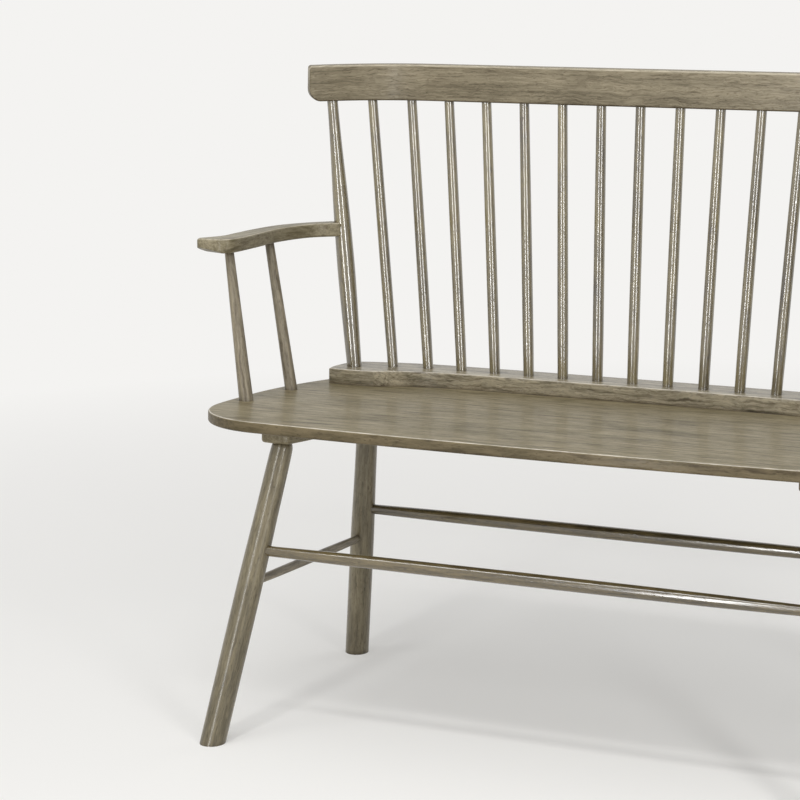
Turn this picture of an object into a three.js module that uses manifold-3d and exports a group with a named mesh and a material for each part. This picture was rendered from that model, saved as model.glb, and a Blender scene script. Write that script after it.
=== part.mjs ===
// A deacon's bench: a plank seat on raked legs, a fan of turned spindles under a bent crest rail,
// and a flat arm at each end. Millimetres, +X to the right seen from the front, +Y back, +Z up.
import * as THREE from 'three';
import { mergeVertices } from 'three/addons/utils/BufferGeometryUtils.js';
import Module from 'manifold-3d';

const wasm = await Module();
wasm.setup();

const { degToRad, lerp } = THREE.MathUtils;
const SIDES = [[-1, 'left'], [1, 'right']];
const ENDS = [[-1, 'front'], [1, 'back']];
const UP = new THREE.Vector3(0, 0, 1);

// Whole bench
const seatHeight = 450; // floor to the seat's top, midway between the legs
const seatPitch = degToRad(3.81); // the seat falls to the back
const fit = 0.3; // gap left between pieces that touch
const overrun = 12; // how far a cutter runs past what it cuts
const chordError = 0.25; // largest gap between a drawn arc and its true curve
const roundingSteps = 2;

// Seat plank, drawn about the point midway between the legs
const seatThickness = 16;
const seatHalfLength = 519;
const seatFront = 223;
const seatBack = 273;
const seatRounding = 3;
const seatFrontRadius = 130;
const seatSideBend = 80; // where the side turns inward
const seatSideAngle = degToRad(18);
const seatSideRadius = 630;
const seatBackRadius = 27;

// Back curve in plan, followed by the seat's back edge, the rail and the spindles' feet
const backSweepSpan = 217;
const backStraight = seatHalfLength - backSweepSpan; // half the straight length
const backEdgeRadius = 420;
const backEdgeAngle = degToRad(18);

// Seat rail, which stands on the seat and widens into a block at each end
const railHeight = 23;
const railInset = 7; // back of the rail to the seat's back edge
const railEndInset = 52;
const railDepth = 83; // from the seat's back edge to the rail's straight front
const railBlockStep = 38; // how far the blocks stand forward
const railBlockLength = 76;
const railSweepLength = 177;
const railHalfLength = seatHalfLength - railEndInset;
const railFront = seatBack - railDepth;
const railBlockFront = railFront - railBlockStep;
const railBlockInner = railHalfLength - railBlockLength;
const railSweepEnd = railBlockInner - railSweepLength;
const railSweepAngle = degToRad(40);
const railSweepSteps = 6;
const railBlockRadius = 8;
const railEndRadius = 5;
const railRounding = 3;

// Spindles
const spindleCount = 15;
const spindleRowInset = 49; // from the seat's back edge to the feet of the straight run
const spindleFootRadius = 266; // plan radius of the row's curved ends
const spindleTopGain = 33; // how much longer the straight run is at the top
const spindleTopRadius = 295;
const spindleBaseThick = 15.8;
const spindleSwellThick = 16.6;
const spindleTopThick = 14.6;
const spindleSwellShare = 0.3;
const spindleRecline = degToRad(5.21);
const spindleFoot = { sink: 1.5, tenon: { radius: 5.5, length: 13 } };
const spindleHead = { sink: 1.5, tenon: { radius: 5, length: 22 } };
const spindleSides = 9;
const spindleSteps = 3;

// End posts, placed along the same two rows as the spindles
const postFootInset = 21.1; // from the rail's end
const postFootStep = 59.5; // from the last spindle
const postLean = 43.7; // how much farther out the head stands than the foot
const postTopThick = 16.4;
const postSwellThick = 27;
const postProfileShares = [
  [0, 0.56], [0.22, 0.89], [0.4, 1], [0.63, 0.7], [0.8, 0.25], [0.93, 0.02], [1, 0],
];
const postFoot = { sink: 2, tenon: { radius: 8, length: 13 } };
const postHead = { sink: 2, tenon: { radius: 5, length: 22 } };
const postSides = 14;
const postSteps = 10;

// Crest rail
const crestRise = 466.5; // from the seat to the crest's top
const crestHeight = 54;
const crestThickness = 21;
const crestPastPost = 36.8;
const crestLowerRadius = 19;
const crestUpperRadius = 4;
const crestRounding = 3;
const crestCornerSteps = 5;

// Battens under the seat
const battenInset = 124.8; // from the seat's end to the batten's middle
const battenMiddle = seatHalfLength - battenInset;
const battenWidth = 46.5;
const battenPastLeg = 19.3;
const battenThickness = 25;
const battenCornerRadius = 5;
const battenRounding = 4.5;

// Legs
const legInset = 128; // from the seat's end to the leg axes at the underside of the battens
const legHalfDepth = 136.7;
const legRakeOut = 0.15; // per unit of drop below the batten
const legRakeFore = 0.22;
const legShoulderRadius = 13;
const legRadius = 18.2;
const legTaperLength = 230;
const legTaperShares = [[0.013, 0.24], [0.035, 0.44], [0.11, 0.56], [0.435, 0.69], [1, 1]];
const legTenonLength = 19;
const legSides = 16;

// Stretchers, by their drop below the battens
const longStretcher = { drop: 152.4, radius: 9.5, endRadius: 7.4 };
const sideStretcher = { drop: 200.3, radius: 6.6, endRadius: 5.6 };
const stretcherEnd = { sink: 3, tenon: { radius: 5, length: 14 } };
const stretcherSteps = 6;
const stretcherSides = 10;

// Arms, drawn from the post outward and forward
const armRise = 219.5; // from the seat to the middle of the arm, at the post
const armPitch = degToRad(1.55); // the arm falls to the back
const armThickness = 21;
const armReach = 251; // post axis to the front end
const armFlare = 125.6; // post axis to the outer front corner
const armHeelShares = [-0.022, -0.02];
const armInnerShares = [
  [-0.022, 0.055], [0.272, 0.18], [0.428, 0.41], [0.447, 0.67], [0.466, 0.86], [0.506, 0.985],
];
const armOuterShares = [
  [1, 1], [0.782, 0.83], [0.752, 0.69], [0.719, 0.5], [0.627, 0.275], [0.398, 0.09], [0.165, -0.02],
];
const armEdgeSteps = 9;
const armFrontRadius = 9;
const armBackRadius = 6;
const armHeelRadius = 5;
const armUndercutRise = 11; // up the front face at the outer corner
const armUndercutDepth = 26; // back along the underside there
const armRounding = 4;

// Arm supports: feet on the seat, tops as shares of the arm's flare and reach
const frontSupport = { inset: 25, y: -58, thick: 21, topShares: [0.627, 0.86] };
const rearSupport = { inset: 34, y: 66, thick: 18.5, topShares: [0.573, 0.415] };
const supportTopThick = 13.4;
const supportFoot = { sink: 3.5, tenon: { radius: 6, length: 9 } };
const supportTop = { sink: 2.5, tenon: { radius: 4.5, length: 10 } };
const supportSteps = 2;
const supportSides = 10;

// Screws
const screwHeadRadius = 4;
const screwHeadHeight = 3;
const screwRadius = 2;
const screwSides = 8;
const battenScrewSpacing = 75;
const battenScrewBite = 11;
const railScrewBite = 12;
const railScrewInset = 37; // from the seat's back edge
const railScrewGaps = [-6.5, -3.5, 0, 3.5, 6.5]; // places counted in spindle steps from the middle
const armScrewLength = 46;
const armScrewAngle = degToRad(36); // turned out from straight ahead

// Finish
const seatColor = '#948b78';
const railColor = '#8a826f';
const crestColor = '#938b79';
const spindleColor = '#8b8371';
const legColor = '#7d7462';
const armColor = '#a39b89';
const steelColor = '#8c8c8a';

function wood(color) {
  return new THREE.MeshStandardMaterial({ color, roughness: 0.55, metalness: 0 });
}

function steel() {
  return new THREE.MeshStandardMaterial({ color: steelColor, roughness: 0.35, metalness: 0.9 });
}

// Closed solids

function toSolid(geometry) {
  const bare = geometry.clone();
  bare.deleteAttribute('normal');
  bare.deleteAttribute('uv');
  const merged = mergeVertices(bare);
  const corners = merged.index.array;
  const kept = [];
  for (let i = 0; i < corners.length; i += 3) {
    const [a, b, c] = corners.slice(i, i + 3);
    if (a !== b && b !== c && c !== a) kept.push(a, b, c);
  }
  return new wasm.Manifold(new wasm.Mesh({
    numProp: 3,
    vertProperties: new Float32Array(merged.attributes.position.array),
    triVerts: new Uint32Array(kept),
  }));
}

function toGeometry(solid) {
  const mesh = solid.getMesh();
  const geometry = new THREE.BufferGeometry();
  geometry.setAttribute('position', new THREE.BufferAttribute(mesh.vertProperties, 3));
  geometry.setIndex(new THREE.BufferAttribute(mesh.triVerts, 1));
  geometry.computeVertexNormals();
  return geometry;
}

// Cut a geometry that stands in its own world place out of a mesh
function cut(mesh, geometry, world) {
  const inMesh = mesh.matrixWorld.clone().invert().multiply(world);
  const cutter = toSolid(geometry.clone().applyMatrix4(inMesh));
  mesh.geometry = toGeometry(toSolid(mesh.geometry).subtract(cutter));
}

// Cut the seat of each turned piece out of a mesh, wider and longer than the piece by the fit
function bore(mesh, pieces) {
  for (const piece of pieces) {
    const profile = piece.userData.boreProfile;
    const start = profile[0].y;
    const length = profile.at(-1).y - start;
    const longer = (length + 2 * fit) / length;
    const wider = profile.map((p) => new THREE.Vector2(p.x + fit, start - fit + (p.y - start) * longer));
    cut(mesh, revolve(wider, piece.userData.sides), piece.matrixWorld);
  }
}

// Outlines and slabs

// The shares 0 to 1 at the ends of equal steps
function shares(steps) {
  return Array.from({ length: steps + 1 }, (_, k) => k / steps);
}

function arcSteps(radius, angle) {
  return Math.ceil(Math.abs(angle) / (2 * Math.acos(1 - chordError / radius)));
}

// Points of the arc that rounds the corner between two neighbours
function cornerArc(before, corner, after) {
  const [x, y, radius] = corner;
  const here = new THREE.Vector2(x, y);
  if (!radius) return [here];
  const back = new THREE.Vector2(before[0], before[1]).sub(here).normalize();
  const on = new THREE.Vector2(after[0], after[1]).sub(here).normalize();
  const half = Math.acos(back.dot(on)) / 2;
  const center = back.clone().add(on).setLength(radius / Math.sin(half)).add(here);
  const start = back.clone().multiplyScalar(radius / Math.tan(half)).add(here);
  const turn = Math.sign(on.cross(back)) * (Math.PI - 2 * half);
  const step = turn / arcSteps(radius, turn);
  return shares(arcSteps(radius, turn)).map((_, k) => start.clone().rotateAround(center, k * step));
}

// Points of a closed outline through corners of [x, y, radius]
function outline(corners) {
  const count = corners.length;
  return corners.flatMap((corner, i) => cornerArc(corners.at(i - 1), corner, corners[(i + 1) % count]));
}

// The right half of an outline, listed from front to back, and its mirror image
function mirrored(half) {
  return [...half, ...half.map(([x, y, radius]) => [-x, y, radius]).reverse()];
}

// A slab on the plane z = 0 with both faces' edges rounded
function slab(points, thickness, rounding) {
  return new THREE.ExtrudeGeometry(new THREE.Shape(points), {
    depth: thickness - 2 * rounding,
    bevelEnabled: true,
    bevelThickness: rounding,
    bevelSize: rounding,
    bevelOffset: -rounding,
    bevelSegments: roundingSteps,
  }).translate(0, 0, rounding);
}

// A slab whose lower face is left square
function squareFootedSlab(points, thickness, rounding) {
  const full = slab(points, thickness + overrun, rounding).translate(0, 0, -overrun);
  return toGeometry(toSolid(full).subtract(toSolid(blockBelow(overrun))));
}

// A block under the plane z = 0, wider than anything it cuts
function blockBelow(depth) {
  const width = 4 * seatHalfLength;
  return new THREE.BoxGeometry(width, width, depth).translate(0, 0, -depth / 2);
}

// What lies above the plane through three points
function trimmed(geometry, a, b, c) {
  const plane = new THREE.Plane().setFromCoplanarPoints(a, b, c);
  if (plane.normal.z < 0) plane.negate();
  return toGeometry(toSolid(geometry).trimByPlane(plane.normal.toArray(), -plane.constant));
}

// Turned pieces

function revolve(profile, sides) {
  const closed = [new THREE.Vector2(0, profile[0].y), ...profile, new THREE.Vector2(0, profile.at(-1).y)];
  return new THREE.LatheGeometry(closed, sides).rotateX(Math.PI / 2);
}

// A profile with a round tenon beyond its two shoulders, which are themselves sunk a little
function tenoned(body, foot, top) {
  const first = body[0];
  const last = body.at(-1);
  const footLine = first.y - foot.sink;
  const topLine = last.y + top.sink;
  return [
    new THREE.Vector2(foot.tenon.radius, footLine - foot.tenon.length),
    new THREE.Vector2(foot.tenon.radius, footLine),
    new THREE.Vector2(first.x, footLine),
    ...body.slice(1, -1),
    new THREE.Vector2(last.x, topLine),
    new THREE.Vector2(top.tenon.radius, topLine),
    new THREE.Vector2(top.tenon.radius, topLine + top.tenon.length),
  ];
}

// Stand a profile on a point, with its axis toward another
function turned(name, from, to, profile, sides, material) {
  const piece = new THREE.Mesh(revolve(profile, sides), material);
  piece.name = name;
  piece.position.copy(from);
  piece.quaternion.setFromUnitVectors(UP, to.clone().sub(from).normalize());
  piece.userData = { boreProfile: profile, sides };
  return piece;
}

function spline(points, steps) {
  return new THREE.SplineCurve(points).getPoints(steps);
}

// Frames and places

const bench = new THREE.Group();
const seatFrame = new THREE.Group();
seatFrame.position.z = seatHeight;
seatFrame.rotation.x = -seatPitch;
seatFrame.updateMatrix();
bench.add(seatFrame);

// A point given in the pitched frame of the seat's top
function onSeat(x, y, z) {
  return new THREE.Vector3(x, y, z).applyMatrix4(seatFrame.matrix);
}

const seatNormal = UP.clone().applyQuaternion(seatFrame.quaternion);

// Point and heading at a distance along a plan curve that runs straight and then sweeps forward
function alongSweep(distance, straight, radius) {
  const side = Math.sign(distance);
  const past = Math.max(Math.abs(distance) - straight, 0);
  const angle = past / radius;
  return {
    x: side * (Math.min(Math.abs(distance), straight) + radius * Math.sin(angle)),
    forward: radius * (1 - Math.cos(angle)),
    heading: -side * angle,
  };
}

// The two rows in which the spindles and posts stand
const lastSpindleStep = (spindleCount - 1) / 2;
const postFootDistance = railHalfLength - postFootInset;
const postTopDistance = postFootDistance + postLean;
const spindleFootPitch = (postFootDistance - postFootStep) / lastSpindleStep;
const spindleTopPitch = postTopDistance / (lastSpindleStep + 1);
const spindleTopStraight = backStraight + spindleTopGain;

function footPlace(distance) {
  const place = alongSweep(distance, backStraight, spindleFootRadius);
  return onSeat(place.x, seatBack - spindleRowInset - place.forward, railHeight);
}

const crestBottom = seatHeight + crestRise - crestHeight;
const middleFoot = footPlace(0);
const crestRow = middleFoot.y + (crestBottom - middleFoot.z) * Math.tan(spindleRecline);

function headPlace(distance) {
  const place = alongSweep(distance, spindleTopStraight, spindleTopRadius);
  return new THREE.Vector3(place.x, crestRow - place.forward, crestBottom);
}

// Seat, rail and battens

const backEdgeTangent = Math.tan(backEdgeAngle / 2);

// The corner where the seat's tapering side meets its swept back edge
function seatBackCorner() {
  const sideSlope = Math.tan(seatSideAngle);
  const backSlope = Math.tan(backEdgeAngle);
  const bendX = backStraight + backEdgeRadius * backEdgeTangent;
  const rise = seatBack + backSlope * bendX - seatSideBend;
  const x = (seatHalfLength - sideSlope * rise) / (1 - sideSlope * backSlope);
  return [x, seatBack - backSlope * (x - bendX), seatBackRadius];
}

function makeSeat() {
  const points = outline(mirrored([
    [seatHalfLength, -seatFront, seatFrontRadius],
    [seatHalfLength, seatSideBend, seatSideRadius],
    seatBackCorner(),
    [backStraight + backEdgeRadius * backEdgeTangent, seatBack, backEdgeRadius],
  ]));
  const seat = new THREE.Mesh(slab(points, seatThickness, seatRounding), wood(seatColor));
  seat.name = 'seat';
  seat.position.z = -seatThickness;
  return seat;
}

function makeRail() {
  const sweep = new THREE.QuadraticBezierCurve(
    new THREE.Vector2(railSweepEnd, railFront),
    new THREE.Vector2(railBlockInner - (railFront - railBlockFront) / Math.tan(railSweepAngle), railFront),
    new THREE.Vector2(railBlockInner, railBlockFront),
  ).getPoints(railSweepSteps).slice(0, -1);
  const radius = backEdgeRadius - railInset;
  const bend = [backStraight + radius * backEdgeTangent, seatBack - railInset, radius];
  const endY = bend[1] - (railHalfLength - bend[0]) * Math.tan(backEdgeAngle);
  const points = outline(mirrored([
    ...sweep.map((p) => [p.x, p.y, 0]),
    [railBlockInner, railBlockFront, railBlockRadius],
    [railHalfLength, railBlockFront, railEndRadius],
    [railHalfLength, endY, seatBackRadius],
    bend,
  ]));
  const rail = new THREE.Mesh(squareFootedSlab(points, railHeight - fit, railRounding), wood(railColor));
  rail.name = 'seat_rail';
  rail.position.z = fit;
  return rail;
}

function makeBatten(side, label) {
  const halfLength = legHalfDepth + battenPastLeg;
  const half = [
    [battenWidth / 2, -halfLength, battenCornerRadius],
    [battenWidth / 2, halfLength, battenCornerRadius],
  ];
  const form = squareFootedSlab(outline(mirrored(half)), battenThickness - fit, battenRounding);
  const batten = new THREE.Mesh(form, wood(legColor));
  batten.name = `batten_${label}`;
  batten.position.set(side * battenMiddle, 0, -seatThickness - fit);
  batten.rotation.x = Math.PI;
  return batten;
}

// Legs and stretchers

const battenUnderside = -seatThickness - battenThickness;
const legHalfSpread = seatHalfLength - legInset;

// A point on a leg's axis at a drop below the battens
function onLeg(side, end, drop) {
  const x = side * (legHalfSpread + legRakeOut * drop);
  const y = end * (legHalfDepth + legRakeFore * drop);
  return onSeat(x, y, battenUnderside - drop);
}

function makeLeg(side, end, label) {
  const shoulder = onLeg(side, end, 0);
  const toward = onLeg(side, end, legTaperLength);
  const length = shoulder.distanceTo(toward) * (shoulder.z + overrun) / (shoulder.z - toward.z);
  const taper = legTaperShares.map(([along, across]) =>
    new THREE.Vector2(lerp(legShoulderRadius, legRadius, across), along * legTaperLength));
  const profile = [
    new THREE.Vector2(legShoulderRadius, -legTenonLength),
    new THREE.Vector2(legShoulderRadius, 0),
    ...taper,
    new THREE.Vector2(legRadius, length),
  ];
  return turned(`leg_${label}`, shoulder, toward, profile, legSides, wood(legColor));
}

function makeStretcher(name, from, to, form) {
  const whole = from.distanceTo(to);
  const axis = to.clone().sub(from).normalize();
  const start = from.clone().addScaledVector(axis, legRadius);
  const length = whole - 2 * legRadius;
  const body = shares(stretcherSteps).map((share) => {
    const fullness = Math.sqrt(Math.abs(Math.sin(Math.PI * share)));
    return new THREE.Vector2(lerp(form.endRadius, form.radius, fullness), share * length);
  });
  return turned(name, start, to, tenoned(body, stretcherEnd, stretcherEnd), stretcherSides, wood(legColor));
}

// Spindles and posts

function makeSpindle(index) {
  const step = index - lastSpindleStep;
  const foot = footPlace(step * spindleFootPitch);
  const top = headPlace(step * spindleTopPitch);
  const length = foot.distanceTo(top);
  const body = spline([
    new THREE.Vector2(spindleBaseThick / 2, 0),
    new THREE.Vector2(spindleSwellThick / 2, spindleSwellShare * length),
    new THREE.Vector2(spindleTopThick / 2, length),
  ], spindleSteps);
  const profile = tenoned(body, spindleFoot, spindleHead);
  const name = `spindle_${String(index + 1).padStart(2, '0')}`;
  return turned(name, foot, top, profile, spindleSides, wood(spindleColor));
}

function makePost(side, label) {
  const foot = footPlace(side * postFootDistance);
  const top = headPlace(side * postTopDistance);
  const length = foot.distanceTo(top);
  const stations = postProfileShares.map(([along, across]) =>
    new THREE.Vector2(lerp(postTopThick, postSwellThick, across) / 2, along * length));
  const body = spline(stations, postSteps);
  const profile = tenoned(body, postFoot, postHead);
  return turned(`post_${label}`, foot, top, profile, postSides, wood(spindleColor));
}

// Crest rail, lofted through upright sections along its plan curve

// How far a rounded corner has drawn in at a distance from the end
function cornerDraw(distance, radius) {
  if (distance >= radius) return 0;
  return radius - Math.sqrt(radius ** 2 - (radius - distance) ** 2);
}

// A rounded rectangle of [across, up], counted the same way round for every section
function crestSection(fromEnd) {
  const half = crestThickness / 2 - cornerDraw(fromEnd, crestRounding);
  const low = cornerDraw(fromEnd, crestLowerRadius);
  const high = crestHeight - cornerDraw(fromEnd, crestUpperRadius);
  return outline([
    [half, low, crestRounding],
    [half, high, crestRounding],
    [-half, high, crestRounding],
    [-half, low, crestRounding],
  ]);
}

// Distances along the crest at which a section stands, from the middle to the right end
function crestStations(halfLength) {
  const sweepLength = halfLength - crestLowerRadius - spindleTopStraight;
  const steps = arcSteps(spindleTopRadius, sweepLength / spindleTopRadius);
  const sweep = shares(steps).slice(0, -1).map((share) => spindleTopStraight + sweepLength * share);
  const corner = shares(crestCornerSteps).map((share) =>
    halfLength - crestLowerRadius * (1 - Math.sin(share * Math.PI / 2)));
  return [0, ...sweep, ...corner];
}

function makeCrest() {
  const halfLength = postTopDistance + crestPastPost;
  const right = crestStations(halfLength);
  const stations = [...right.slice(1).reverse().map((s) => -s), ...right];
  const rings = stations.map((s) => {
    const place = alongSweep(s, spindleTopStraight, spindleTopRadius);
    return crestSection(halfLength - Math.abs(s)).map(({ x: across, y: up }) => new THREE.Vector3(
      place.x - across * Math.sin(place.heading),
      across * Math.cos(place.heading) - place.forward + up * Math.tan(spindleRecline),
      up,
    ));
  });
  const crest = new THREE.Mesh(loft(rings), wood(crestColor));
  crest.name = 'crest_rail';
  crest.position.set(0, crestRow, crestBottom);
  return crest;
}

// A closed skin through rings of the same count, with a fan over each end
function loft(rings) {
  const count = rings[0].length;
  const triangles = [];
  for (let i = 0; i + 1 < rings.length; i += 1) {
    for (let j = 0; j < count; j += 1) {
      const next = (j + 1) % count;
      triangles.push(rings[i][j], rings[i + 1][next], rings[i + 1][j]);
      triangles.push(rings[i][j], rings[i][next], rings[i + 1][next]);
    }
  }
  const first = rings[0];
  const last = rings.at(-1);
  for (let j = 1; j + 1 < count; j += 1) {
    triangles.push(first[0], first[j + 1], first[j]);
    triangles.push(last[0], last[j], last[j + 1]);
  }
  return new THREE.BufferGeometry().setFromPoints(triangles);
}

// Arms and their supports

// The post's axis at the height of the arm's middle
function armRoot(post) {
  const axis = UP.clone().applyQuaternion(post.quaternion);
  return post.position.clone().addScaledVector(axis, (seatHeight + armRise - post.position.z) / axis.z);
}

function makeArmFrame(post) {
  const frame = new THREE.Group();
  frame.position.copy(armRoot(post));
  frame.rotation.x = -armPitch;
  frame.updateMatrix();
  return frame;
}

function makeArm(side, label) {
  const place = ([out, forward]) => new THREE.Vector2(side * out * armFlare, -forward * armReach);
  const inner = spline(armInnerShares.map(place), armEdgeSteps);
  const outer = spline(armOuterShares.map(place), armEdgeSteps);
  const cornered = (edge, firstRadius, lastRadius) => edge.map((p, i) => {
    if (i === 0) return [p.x, p.y, firstRadius];
    return [p.x, p.y, i === edge.length - 1 ? lastRadius : 0];
  });
  const heel = place(armHeelShares);
  const points = outline([
    [heel.x, heel.y, armBackRadius],
    ...cornered(inner, armHeelRadius, armFrontRadius),
    ...cornered(outer, armFrontRadius, armBackRadius),
  ]);
  const [corner, innerCorner] = [outer[0], inner.at(-1)];
  const form = trimmed(
    slab(points, armThickness, armRounding),
    new THREE.Vector3(corner.x, corner.y, armUndercutRise),
    new THREE.Vector3(corner.x, corner.y + armUndercutDepth, 0),
    new THREE.Vector3(innerCorner.x, innerCorner.y, 0),
  );
  const arm = new THREE.Mesh(form, wood(armColor));
  arm.name = `arm_${label}`;
  arm.position.z = -armThickness / 2;
  return arm;
}

function makeSupport(name, side, form, armFrame) {
  const foot = onSeat(side * (seatHalfLength - form.inset), form.y, 0);
  const [out, forward] = form.topShares;
  const top = new THREE.Vector3(side * out * armFlare, -forward * armReach, -armThickness / 2);
  top.applyMatrix4(armFrame.matrix);
  const length = foot.distanceTo(top);
  const body = shares(supportSteps).map((share) =>
    new THREE.Vector2(lerp(form.thick, supportTopThick, share) / 2, share * length));
  const profile = tenoned(body, supportFoot, supportTop);
  return turned(name, foot, top, profile, supportSides, wood(spindleColor));
}

// Screws

function makeScrew(name, head, direction, length) {
  const profile = [
    new THREE.Vector2(screwHeadRadius, 0),
    new THREE.Vector2(screwRadius, screwHeadHeight),
    new THREE.Vector2(screwRadius, length),
  ];
  const screw = turned(name, head, head.clone().add(direction), profile, screwSides, steel());
  screw.userData.boreProfile = [new THREE.Vector2(screwHeadRadius, -overrun), ...profile];
  return screw;
}

function makeBattenScrews(side, label) {
  const length = battenThickness + battenScrewBite;
  return [-1, 0, 1].map((step, i) => {
    const head = onSeat(side * battenMiddle, step * battenScrewSpacing, battenUnderside);
    return makeScrew(`batten_screw_${label}_${i + 1}`, head, seatNormal, length);
  });
}

function makeRailScrews() {
  const length = seatThickness + railScrewBite;
  return railScrewGaps.map((gap, i) => {
    const place = alongSweep(gap * spindleFootPitch, backStraight, spindleFootRadius);
    const head = onSeat(place.x, seatBack - railScrewInset - place.forward, -seatThickness);
    return makeScrew(`rail_screw_${i + 1}`, head, seatNormal, length);
  });
}

// A turned piece's radius at a distance along its axis
function radiusAt(piece, distance) {
  const profile = piece.userData.boreProfile;
  const i = profile.findIndex((p) => p.y > distance);
  const [below, above] = [profile[i - 1], profile[i]];
  return lerp(below.x, above.x, (distance - below.y) / (above.y - below.y));
}

// A screw from the back of the post into the end of the arm, its head just under the surface
function makeArmScrew(side, label, post) {
  const root = armRoot(post);
  const radius = radiusAt(post, root.distanceTo(post.position));
  const depth = Math.sqrt(radius ** 2 - screwHeadRadius ** 2);
  const ahead = new THREE.Vector3(side * Math.sin(armScrewAngle), -Math.cos(armScrewAngle), 0);
  const head = root.clone().addScaledVector(ahead, -depth);
  return makeScrew(`arm_screw_${label}`, head, ahead, armScrewLength);
}

// Assembly

const seat = makeSeat();
const rail = makeRail();
const crest = makeCrest();
const spindles = Array.from({ length: spindleCount }, (_, index) => makeSpindle(index));
const railScrews = makeRailScrews();
seatFrame.add(seat, rail);
bench.add(crest, ...spindles, ...railScrews);

const ends = SIDES.map(([side, label]) => {
  const batten = makeBatten(side, label);
  const battenScrews = makeBattenScrews(side, label);
  const legs = ENDS.map(([end, place]) => makeLeg(side, end, `${place}_${label}`));
  const { drop } = sideStretcher;
  const stretcher = makeStretcher(
    `stretcher_${label}`, onLeg(side, -1, drop), onLeg(side, 1, drop), sideStretcher);
  const post = makePost(side, label);
  const armFrame = makeArmFrame(post);
  const arm = makeArm(side, label);
  const armSupports = [
    makeSupport(`arm_support_front_${label}`, side, frontSupport, armFrame),
    makeSupport(`arm_support_rear_${label}`, side, rearSupport, armFrame),
  ];
  const armScrew = makeArmScrew(side, label, post);
  seatFrame.add(batten);
  armFrame.add(arm);
  bench.add(...battenScrews, ...legs, stretcher, post, armFrame, ...armSupports, armScrew);
  return { batten, battenScrews, legs, stretcher, post, arm, armSupports, armScrew };
});

const longStretchers = ENDS.map(([end, place]) => {
  const { drop } = longStretcher;
  return makeStretcher(`stretcher_${place}`, onLeg(-1, end, drop), onLeg(1, end, drop), longStretcher);
});
bench.add(...longStretchers);
bench.updateMatrixWorld(true);

// Joints, cut where the pieces stand

const floor = blockBelow(4 * overrun);
const posts = ends.map((e) => e.post);

bore(seat, ends.flatMap((e) => [...e.armSupports, ...e.battenScrews]));
bore(seat, railScrews);
bore(rail, [...spindles, ...posts, ...railScrews]);
bore(crest, [...spindles, ...posts]);
for (const { batten, battenScrews, legs, stretcher, post, arm, armSupports, armScrew } of ends) {
  bore(batten, [...legs, ...battenScrews]);
  legs.forEach((leg, i) => {
    bore(leg, [stretcher, longStretchers[i]]);
    cut(leg, floor, new THREE.Matrix4());
  });
  bore(arm, [post, ...armSupports, armScrew]);
  bore(post, [armScrew]);
}

// Stand the bench on its own middle
const box = new THREE.Box3().setFromObject(bench, true);
bench.position.y = -(box.min.y + box.max.y) / 2;

const model = new THREE.Group();
model.add(bench);
export default model;
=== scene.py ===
"""The looks of a deacon's bench: a plank seat on raked legs, a fan of turned spindles under a bent crest rail and a
flat arm at each end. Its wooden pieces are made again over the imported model, rounder and with softer edges: the turned
ones, the seat, the rail and the battens from that model's own solids, the crest and the arms from the sizes below.
Metres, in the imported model's frame: +X to the right seen from the front, +Y back, +Z up."""

import math
import random

import bmesh
import bpy
import numpy as np
from mathutils import Matrix, Vector


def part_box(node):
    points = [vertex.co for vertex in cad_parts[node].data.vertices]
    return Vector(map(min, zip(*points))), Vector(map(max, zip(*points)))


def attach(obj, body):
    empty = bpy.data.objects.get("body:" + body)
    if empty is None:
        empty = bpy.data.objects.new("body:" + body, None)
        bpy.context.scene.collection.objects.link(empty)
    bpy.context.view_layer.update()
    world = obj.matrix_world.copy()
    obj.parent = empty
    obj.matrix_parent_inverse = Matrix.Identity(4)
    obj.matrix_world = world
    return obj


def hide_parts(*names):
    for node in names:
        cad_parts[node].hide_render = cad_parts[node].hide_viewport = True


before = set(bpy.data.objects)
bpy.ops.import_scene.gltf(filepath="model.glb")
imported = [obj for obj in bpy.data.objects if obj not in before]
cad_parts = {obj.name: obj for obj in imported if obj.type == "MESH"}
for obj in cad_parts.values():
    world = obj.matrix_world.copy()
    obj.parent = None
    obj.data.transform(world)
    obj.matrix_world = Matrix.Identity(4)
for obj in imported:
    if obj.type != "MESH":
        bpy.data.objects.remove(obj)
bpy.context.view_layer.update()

draw = random.Random(7)

X_AXIS = np.array([1.0, 0.0, 0.0])
Y_AXIS = np.array([0.0, 1.0, 0.0])
NEAR_AXIS = 0.8  # a direction with a larger share of an axis runs nearly along it
TINY = 1e-12
SIDE_NAMES = {-1: "left", 1: "right"}

# Turned pieces
SIDES = 48  # round a turned piece
PROFILE_STEPS = 6  # between two rings of a turned node
RING_GAP = 0.0004  # rings of a turned node stand farther apart than this along its axis
SAME_RADIUS = 0.0003  # the corners of a ring differ less than this in their distance from the axis
WIDEST_GAP = math.radians(55)  # between neighbours in a full ring
AXIS_PASSES = 2  # a node's rings are found again about the axis that they gave

# Boards
OUTLINE_STEP = 0.012  # the longest step of a smooth outline
LEAST_BEND = 1e-3  # the sine of the bend at a point that an outline keeps
SIDE_SHADE = -1.0  # the mark is -1 where the painted shade on a board's sides is darkest, 1 where rubbing and a painted highlight make it pale, and 0 between them
UPPER_EDGE_PAINTED_LIGHT_AND_WEAR = (SIDE_SHADE, SIDE_SHADE, -0.4, 0.9, 0.4, 0.0)  # painted shade, then rubbing with a painted highlight, at each step of the rounding, from the side to the top
EDGE_ROUNDING = 0.003
BATTEN_ROUNDING = 0.0045  # of the lower edges
SHARP_ANGLE = math.radians(42)
GRAIN_SHIFT = 9.0  # pieces take their figure from places up to this far apart

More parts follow.
